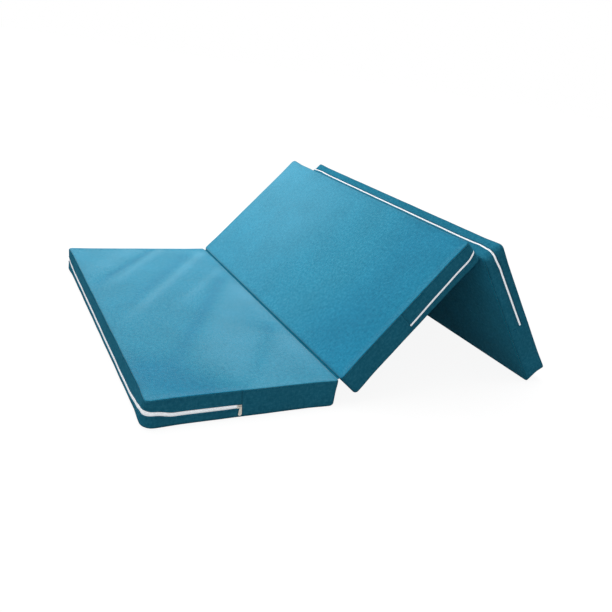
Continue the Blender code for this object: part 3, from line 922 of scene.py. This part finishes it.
def woven_tape(name, dark, light, glow):
    """Herringbone zipper tape; its glow is painted light, though the tape is no lamp."""
    graph = Graph(name, specular=0.3)
    rib = graph.bands(graph.cloth_place(1 / TAPE_RIB, 0), "X")
    cross = graph.bands(graph.cloth_place(1 / TAPE_RIB), "DIAGONAL")
    weave = graph.total((rib, RIB_SHARE), (cross, 1 - RIB_SHARE))
    tone = graph.noise(graph.cloth_place(1 / MOTTLE_SIZE))
    share = graph.math("MULTIPLY", weave, graph.range(tone, NOISE_SPREAD, TAPE_SHADE))
    graph.bump(weave, WEAVE_DEPTH / 2, strength=0.6)
    # Painted light: the tape glows by this much, though it is no lamp
    graph.set("Emission Color", light)
    graph.set("Emission Strength", glow)
    return graph.finish(graph.mix(share, dark, light), TAPE_ROUGHNESS)


def nylon_coil(dark, light):
    graph = Graph("zipper coil")
    tone = graph.noise(graph.object_place(COIL_GRAIN))
    # Painted light: the coil glows, though it is no lamp
    graph.set("Emission Color", light)
    graph.set("Emission Strength", PAINTED_ZIPPER_GLOW)
    return graph.finish(graph.mix(tone, dark, light), graph.range(tone, NOISE_SPREAD, COIL_ROUGHNESS))


def cast_metal():
    """Nickelled zinc with fine scratches, rubbed yellow in places."""
    graph = Graph("zipper metal", metallic=1.0)
    scratches = graph.noise(graph.object_place(*SCRATCH_GRAIN), detail=3.0, roughness=0.6)
    worn = graph.noise(graph.object_place(WEAR_GRAIN))
    graph.bump(scratches, SCRATCH_DEPTH, strength=0.6)
    color = graph.mix(graph.range(worn, NARROW_SPREAD, FULL), BARE_METAL, WORN_METAL)
    return graph.finish(color, graph.range(scratches, NOISE_SPREAD, METAL_ROUGHNESS))


def foam_material(dark, light):
    """Open-cell foam: cream, with cells of about two millimetres."""
    graph = Graph("foam", specular=0.1)
    cells = graph.noise(graph.object_place(FOAM_CELLS), detail=3.0, roughness=0.7)
    broad = graph.noise(graph.object_place(FOAM_BLOTCHES), detail=1.0)
    graph.bump(cells, FOAM_CELL_DEPTH, strength=0.7)
    color = graph.mix(graph.range(cells, NARROW_SPREAD, FULL), dark, light)
    shade = graph.range(broad, NOISE_SPREAD, FOAM_SHADE)
    return graph.finish(graph.tinted(color, shade), FOAM_ROUGHNESS)


CLOTH = linen("cover cloth", TEAL, 0.52, TEAL_PAINTED_FOLD_LIGHT)
UNDER_CLOTH = linen("underside cloth", TEAL, 0.05)
# The walls' cloth, darker than the lids' by painted shade
SIDE_CLOTH = linen("side cloth", SIDE_TEAL_IN_PAINTED_SHADE, 0.0)
# The webs' cloth, darkened as painted shade in the fold's groove
WEB_CLOTH = linen("web cloth", WEB_TEAL_IN_PAINTED_SHADE, 0.0)
TAPE = woven_tape("zipper tape", *ZIPPER_WHITE, PAINTED_ZIPPER_GLOW)
# Tape and thread in the walls' teal, darkened as painted shade
DYED_TAPE = woven_tape("dyed zipper tape", *SIDE_TEAL_IN_PAINTED_SHADE[:2], 0.0)
THREAD = woven_tape("sewing thread", *SIDE_TEAL_IN_PAINTED_SHADE[1:], 0.0)
COIL = nylon_coil(*ZIPPER_WHITE)
METAL = cast_metal()
FOAM = foam_material(*FOAM_CREAM)


# Lids and side bands


def painted_seam_shading(distance):
    # How strong the painted shade is at a distance from a seam
    return np.exp(-distance / SEAM_SHADE_REACH * SEAM_SHADE_PACE)


def tucked(edge, facing, way):
    """Points sunk into a seam on a rounded edge: way is 1 on the upper edge and -1 on the lower."""
    return edge - unit(facing + np.array((0, 0, way))) * SEAM_DEPTH


def lid_piece(panel, grid, on_top, facing):
    """A lid whose edge turns down into its seam."""
    name = f"{panel.name}_{'top' if on_top else 'bottom'}"
    nx, ny = grid.shape[0] - 1, grid.shape[1] - 1
    rim = ((1, 1), (1, 1), (0, 0))
    edge = loop_of(grid)
    inner = widened(loop_of(grid, 1), nx - 2, ny - 2)
    points = grid.copy()
    set_loop(points, edge + unit(inner - edge) * SEAM_WIDTH)
    framed = np.pad(points, rim, mode="edge")
    set_loop(framed, widened(tucked(edge, facing, 1 if on_top else -1), nx, ny))
    uv = np.pad(grid, rim, mode="edge")[..., :2]
    if not on_top:
        framed, uv = framed[:, ::-1], uv[:, ::-1]
    x, y = uv[..., 0], uv[..., 1]
    # Painted light and shade on the top lid's soft folds
    nap = resting_folds(panel, x, y) if on_top else np.zeros_like(x)
    # Painted shade beside the lid's seams
    seam = painted_seam_shading(edge_distance(x, y))
    cloth = CLOTH if on_top else UNDER_CLOTH
    obj = grid_mesh(f"{name}_cover", panel.world(framed), uv, cloth, seam=seam, nap=nap)
    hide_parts(f"{name}_cloth")
    return obj


class Walls:
    """The rows of a panel's side walls, with the way that each station faces."""

    def __init__(self, panel, rows):
        self.rows = closed(rows)
        self.length = path_length(self.rows[SLOT_TOP])
        facing = np.cross(np.gradient(self.rows[SLOT_TOP], axis=0), (0, 0, 1))
        facing[0] = facing[-1] = facing[0] + facing[-1]
        self.facing = unit(facing)
        run_end = PANEL_LENGTH - panel.zip_run
        self.slot_start = self.place(NEAR, run_end, 1)
        self.slot_end = self.place(FAR, run_end, -1)

    def place(self, side, x, way):
        """How far round the walls an x lies on a long side, along which x grows or falls."""
        chosen = np.flatnonzero(loop_stations()[0] == side)
        return float(np.interp(way * x, way * self.rows[SLOT_TOP, chosen, 0], self.length[chosen]))

    def stretch(self, start, end, step=None):
        """Rows, facings and lengths between two places round the panel, which may pass the start."""
        if step:
            chosen = np.linspace(start, end, round((end - start) / step) + 1)
        else:
            lengths = np.concatenate([self.length[:-1], self.length[:-1] + self.length[-1]])
            inside = lengths[(lengths > start + LEAST_STEP) & (lengths < end - LEAST_STEP)]
            chosen = np.concatenate([[start], inside, [end]])
        rows = np.stack([self.sample(row, chosen) for row in self.rows])
        return rows, unit(self.sample(self.facing, chosen)), chosen

    def sample(self, values, chosen):
        wrapped = np.mod(chosen, self.length[-1])
        return np.stack([np.interp(wrapped, self.length, values[:, i]) for i in range(3)], axis=-1)


def wall_uv(along, points):
    """Cloth coordinates on a wall: how far round it, and the height."""
    return np.stack([np.broadcast_to(along, points.shape[:2]), points[..., 2]], axis=-1)


def with_seam_edges(rows, facing, ways):
    """Rows that back off a seam, with one more row tucked into it: above for way 1, below for -1."""
    parts = [rows]
    for way in ways:
        edge, inner = (0, 1) if way > 0 else (-1, -2)
        rows[edge] += unit(rows[inner] - rows[edge]) * SEAM_WIDTH
        tuck = tucked(rows[edge], facing, way)[None]
        parts = [tuck, *parts] if way > 0 else [*parts, tuck]
    return np.concatenate(parts)


def hem_rows(edge, facing, way):
    """Rows of a folded hem beside the zipper: way is 1 where the cloth lies above it."""
    up = np.array((0, 0, way))
    return np.stack([edge + up * away + facing * out for away, out in zip(HEM_AWAY, HEM_OUT)])


def band_piece(panel, word, node, rows, facing, lengths):
    """A strip of side cloth whose ends tuck into their seams."""
    ends = [rows[:, end] - facing[end] * END_SEAM_DEPTH for end in (slice(0, 1), slice(-1, None))]
    points = np.concatenate([ends[0], rows, ends[1]], axis=1)
    along = np.concatenate([lengths[:1], lengths, lengths[-1:]])
    down = path_length(points)
    # Painted shade beside the strip's seams, fading in from its ends
    from_ends = np.minimum(along - lengths[0], lengths[-1] - along) + END_SEAM_SHADE_FADE
    seam = painted_seam_shading(np.minimum(np.minimum(down, down[-1] - down), from_ends))
    name = f"{panel.name}_{word}_side"
    obj = grid_mesh(name, panel.world(points), wall_uv(along, points), SIDE_CLOTH, seam=seam)
    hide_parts(f"{panel.name}_{node}")
    return obj


def side_pieces(panel, walls):
    """The plain band and the two bands beside the zipper."""
    rows, facing, lengths = walls.stretch(walls.slot_end, walls.slot_start + walls.length[-1])
    rows = with_seam_edges(rows, facing, (1, -1))
    pieces = [band_piece(panel, "plain", "plain_band", rows, facing, lengths)]
    rows, facing, lengths = walls.stretch(walls.slot_start, walls.slot_end)
    upper = np.concatenate([rows[:SLOT_TOP], hem_rows(rows[SLOT_TOP], facing, 1)])
    lower = np.concatenate([hem_rows(rows[SLOT_LOW], facing, -1)[::-1], rows[SLOT_LOW + 1 :]])
    for word, part, way in (("upper", upper, 1), ("lower", lower, -1)):
        part = with_seam_edges(part, facing, (way,))
        pieces.append(band_piece(panel, word, f"{word}_zip_band", part, facing, lengths))
    return pieces


# Zipper, foam and webs


def zipper_line(rows, facing):
    """The middle of the slot, as deep as the tapes."""
    return (rows[SLOT_TOP] + rows[SLOT_LOW]) / 2 - facing * TAPE_DEPTH


def tape_piece(panel, walls, word, way, dyed):
    """One side of the zipper: a woven tape behind the hem, white all over or only beside its coil, and dyed
    in the walls' darker teal of painted shade further out.
    """
    start, end = walls.slot_start - TAPE_REACH, walls.slot_end + TAPE_REACH
    rows, facing, lengths = walls.stretch(start, end, GRID_STEP / 2)
    line = zipper_line(rows, facing)
    across = (COIL_HALF_SLIT, COIL_WIDTH, WHITE_REACH, TAPE_REACH)
    points = np.stack([line + np.array((0, 0, way * away)) for away in across])
    outer_row = len(points) - 2
    if way > 0:
        points = points[::-1]
        outer_row = 0
    name = f"{panel.name}_{word}"
    obj = grid_mesh(f"{name}_tape", panel.world(points), wall_uv(lengths, points), TAPE, DYED_TAPE)
    columns = points.shape[1] - 1
    for face in obj.data.polygons[outer_row * columns : (outer_row + 1) * columns]:
        face.material_index = int(dyed)
    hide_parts(f"{name}_zip_tape")
    return obj


def teeth_piece(panel, walls, word, way):
    """One row of the zipper's coil: slanting turns that reach across the slit to the other row's."""
    start = walls.slot_start + TOOTH_PITCH + (TOOTH_PITCH / 2 if way < 0 else 0)
    rows, facing, _ = walls.stretch(start, walls.slot_end - TOOTH_PITCH, TOOTH_PITCH)
    half = TOOTH_LENGTH / 2
    top_half = half * TOOTH_TOP_SHARE
    corners = []
    for foot, top, height in ((0, -TOOTH_OVERHANG, COIL_HEIGHT), (COIL_WIDTH, COIL_WIDTH, COIL_BACK_HEIGHT)):
        corners += [(-half, foot, 0), (half, foot, 0), (top_half, top, height), (-top_half, top, height)]
    corners = [(x + TOOTH_PITCH / 2 * across / COIL_WIDTH, across, out) for x, across, out in corners]
    line = zipper_line(rows, facing)
    name = f"{panel.name}_{word}_coil"
    return repeated_piece(name, panel, line, facing, way, corners, np.array(TOOTH_FACES), COIL)


def stitch_piece(panel, walls, word, way):
    """The row of stitches that holds a hem to its tape: short arched threads."""
    start, end = walls.slot_start + STITCH_PITCH, walls.slot_end - STITCH_PITCH
    rows, facing, _ = walls.stretch(start, end, STITCH_PITCH)
    corners = []
    for share, rise in STITCH_PROFILE:
        for across, out in ((-STITCH_WIDTH / 2, 0), (0, rise), (STITCH_WIDTH / 2, 0)):
            corners.append((share * STITCH_LENGTH, STITCH_PLACE + across, HEM_FACE + out))
    faces = grid_faces(np.arange(len(corners)).reshape(len(STITCH_PROFILE), -1))
    edge = rows[SLOT_TOP if way > 0 else SLOT_LOW]
    name = f"{panel.name}_{word}_stitches"
    return repeated_piece(name, panel, edge, facing, way, corners, faces, THREAD)


def foam_piece(panel):
    """The foam block inside the cover: a closed block with rounded edges and the cover's crown."""
    top, low = lid_grid(panel, True, FOAM_STEP), lid_grid(panel, False, FOAM_STEP)
    share = np.array((1 - 2 * FOAM_INSET / PANEL_LENGTH, 1 - 2 * FOAM_INSET / PANEL_WIDTH, 1))
    for grid, sink in ((top, -FOAM_TOP_DEPTH), (low, FOAM_DEPTH)):
        grid *= share
        grid += (FOAM_INSET, 0, sink)
    walls = np.linspace(loop_of(top), loop_of(low), FOAM_ROWS + 1)[1:-1]
    points, faces = closed_form(top, low, walls)
    obj = new_piece(f"{panel.name}_foam", panel.world(points), faces, [FOAM])
    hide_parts(f"{panel.name}_foam_core")
    return obj


def end_edge(panel, grid, side):
    """World points of a lid's edge at one end, short of its corners, in the order of the world's Y."""
    edge = grid[0] if side == PLAIN_END else grid[-1]
    edge = edge[np.abs(edge[:, 1]) < PANEL_WIDTH / 2 - WEB_SETBACKS[side]]
    points = panel.world(edge)
    return points[np.argsort(points[:, 1])]


def web_piece(fold, panels, word, side):
    """The web at a fold, from one lid's seam to the next one's, slack between them."""
    first, second = (end_edge(panel, LIDS[panel.name][word], side) for panel in panels)
    centre = len(first) // 2
    middle = (first + second) / 2
    hang = middle + (middle - JOINTS[fold]["pos_m"]) * (1, 0, 1) * WEB_HANG_SHARE
    steps = np.linspace(0, 1, WEB_STEPS + 1)
    points = np.stack([first * (1 - t) ** 2 + hang * 2 * t * (1 - t) + second * t**2 for t in steps])
    across = path_length(points[:, centre])
    uv = np.stack(np.meshgrid(across, first[:, 1], indexing="ij"), axis=-1)
    web = grid_mesh(f"{fold}_web", points, uv, WEB_CLOTH, seam=np.zeros(points.shape[:2]))
    names = [panel.name for panel in panels]
    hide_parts(*[f"{fold}_web_on_{name}" for name in names])
    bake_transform(web)


# Making the mattress


def dress_panel(panel):
    """Makes a panel's pieces, and gives the grids of its lids for the webs."""
    top = lid_grid(panel, True)
    low = lid_grid(panel, False)
    rows = band_rows(panel, loop_of(top), loop_of(low))
    settle(panel, top, low, rows)
    if panel is not THREE:
        for points in (top, low, rows):
            reach_to_fold(points)
    walls = Walls(panel, rows)
    foam = foam_piece(panel)
    lids = [lid_piece(panel, grid, grid is top, walls.facing[:-1]) for grid in (top, low)]
    sides = side_pieces(panel, walls)
    zipper = []
    for word, way in (("upper", 1), ("lower", -1)):
        sides.append(stitch_piece(panel, walls, word, way))
        zipper.append(tape_piece(panel, walls, word, way, dyed=panel is not ONE))
        zipper.append(teeth_piece(panel, walls, word, way))
    groups = {"foam": [foam], "cover_cloth": lids, "side_cloth": sides, "zipper_white": zipper}
    for slot, pieces in groups.items():
        for piece in pieces:
            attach(piece, panel.name)
    for part in ("slider", "pull"):
        frame["nodes"][f"{panel.name}_zip_{part}"].data.materials[0] = METAL
    return {"top": top, "bottom": low}


LIDS = {panel.name: dress_panel(panel) for panel in (ONE, TWO, THREE)}
web_piece("fold_1", (ONE, TWO), "top", PLAIN_END)
web_piece("fold_2", (TWO, THREE), "bottom", ZIPPED_END)


# The stage, the light and the camera


def add_shader(tree, kind, color, strength=None):
    """A shader node of one colour."""
    node = tree.nodes.new("ShaderNode" + kind)
    node.inputs["Color"].default_value = (*color, 1)
    if strength is not None:
        node.inputs["Strength"].default_value = strength
    return node


def show(tree, output, hidden, seen):
    """Ends a node tree: seen is for the camera, reflections and glass, and hidden for all other rays."""
    path = tree.nodes.new("ShaderNodeLightPath")
    share = path.outputs["Is Camera Ray"]
    for ray in ("Is Glossy Ray", "Is Transmission Ray"):
        either = tree.nodes.new("ShaderNodeMath")
        either.operation = "MAXIMUM"
        tree.links.new(share, either.inputs[0])
        tree.links.new(path.outputs[ray], either.inputs[1])
        share = either.outputs[0]
    mix = tree.nodes.new("ShaderNodeMixShader")
    for number, socket in enumerate((share, hidden.outputs[0], seen.outputs[0])):
        tree.links.new(socket, mix.inputs[number])
    tree.links.new(mix.outputs[0], tree.nodes.new("ShaderNode" + output).inputs["Surface"])


def make_floor():
    corners = [(-1, -1), (1, -1), (1, 1), (-1, 1)]
    mesh = bpy.data.meshes.new("floor")
    mesh.from_pydata([(x * FLOOR_SIZE, y * FLOOR_SIZE, 0) for x, y in corners], [], [(0, 1, 2, 3)])
    floor = new_object("floor", mesh)
    floor.location = (0, 0, -FLOOR_DROP)
    material = bpy.data.materials.new("floor")
    material.use_nodes = True
    tree = material.node_tree
    tree.nodes.clear()
    white = tree.nodes.new("ShaderNodeAddShader")
    lit = add_shader(tree, "BsdfDiffuse", FLOOR_LIT)
    glow = add_shader(tree, "Emission", WHITE, FLOOR_GLOW)
    tree.links.new(lit.outputs[0], white.inputs[0])
    tree.links.new(glow.outputs[0], white.inputs[1])
    grey = add_shader(tree, "BsdfDiffuse", FLOOR_GREY)
    show(tree, "OutputMaterial", grey, white)
    mesh.materials.append(material)


def make_sky():
    world = bpy.data.worlds.new("sky")
    bpy.context.scene.world = world
    world.use_nodes = True
    tree = world.node_tree
    tree.nodes.clear()
    sky = add_shader(tree, "Background", WHITE, SKY_LEVEL)
    white = add_shader(tree, "Background", WHITE, 1)
    show(tree, "OutputWorld", sky, white)


def make_lamp(name, kind, way, energy):
    """A lamp that shines along a direction."""
    data = bpy.data.lights.new(name, kind)
    data.energy = energy
    lamp = new_object(name, data)
    lamp.rotation_euler = Vector(way).to_track_quat("-Z", "Y").to_euler()
    return lamp


def make_sun(name, way, angle, level):
    """A soft sun that adds level to the light on a face turned to it."""
    lamp = make_lamp(name, "SUN", way, level * pi)
    lamp.data.angle = radians(angle)


def make_window():
    """A large soft lamp beyond the far side, so that the cloth is lighter there."""
    lamp = make_lamp("window", "AREA", Vector(WINDOW_TARGET) - Vector(WINDOW_PLACE), WINDOW_POWER)
    lamp.data.shape = "SQUARE"
    lamp.data.size = WINDOW_SIZE
    lamp.location = WINDOW_PLACE


def make_camera():
    data = bpy.data.cameras.new("camera")
    camera = new_object("camera", data)
    bpy.context.scene.camera = camera
    aim = Euler((pi / 2 - CAMERA_ELEVATION, 0, CAMERA_AZIMUTH)).to_matrix().to_4x4()
    roll = Matrix.Rotation(CAMERA_ROLL, 4, "Z")
    camera.matrix_world = Matrix.Translation(CAMERA_PLACE) @ aim @ roll
    data.sensor_width = SENSOR
    data.lens = FOCAL_PIXELS / FRAME_PIXELS * SENSOR
    data.shift_x = -CENTRE_PIXELS[0] / FRAME_PIXELS
    data.shift_y = CENTRE_PIXELS[1] / FRAME_PIXELS


make_floor()
make_sky()
make_sun("key lamp", KEY_WAY, KEY_ANGLE, KEY_LEVEL)
make_sun("fill lamp", FILL_WAY, FILL_ANGLE, FILL_LEVEL)
make_window()
make_camera()
bpy.context.scene.view_settings.view_transform = "Standard"
